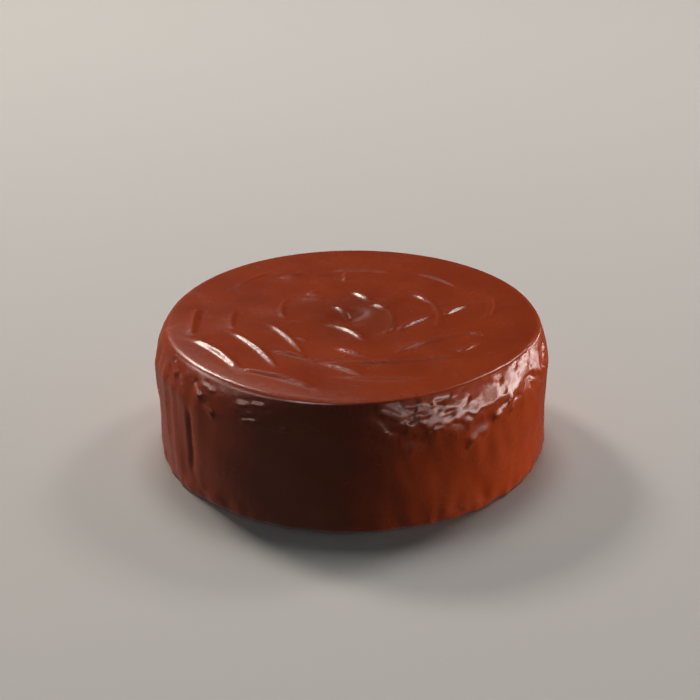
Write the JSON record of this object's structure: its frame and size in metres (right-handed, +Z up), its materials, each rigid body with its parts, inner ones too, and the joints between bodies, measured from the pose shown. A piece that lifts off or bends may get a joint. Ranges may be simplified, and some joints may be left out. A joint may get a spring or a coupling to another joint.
{
  "type": "chocolate hazelnut cake",
  "caption": "Round uncut chocolate cake coated in glossy red-brown ganache, its top worked with a spatula into a rosette of petal ridges; a dessert that stands on its flat base.",
  "frame": {"origin": "centre of the flat base, on the surface that the cake stands on", "axes": "+Z up through the middle of the rosette, -Y towards the front of the picture, +X to its right"},
  "size_m": [0.2004, 0.2008, 0.069],
  "materials": {
    "ganache": "glossy chocolate ganache, smoothed and ridged with a spatula"
  },
  "bodies": {
    "root": {"cake": "ganache"}
  },
  "joints": []
}
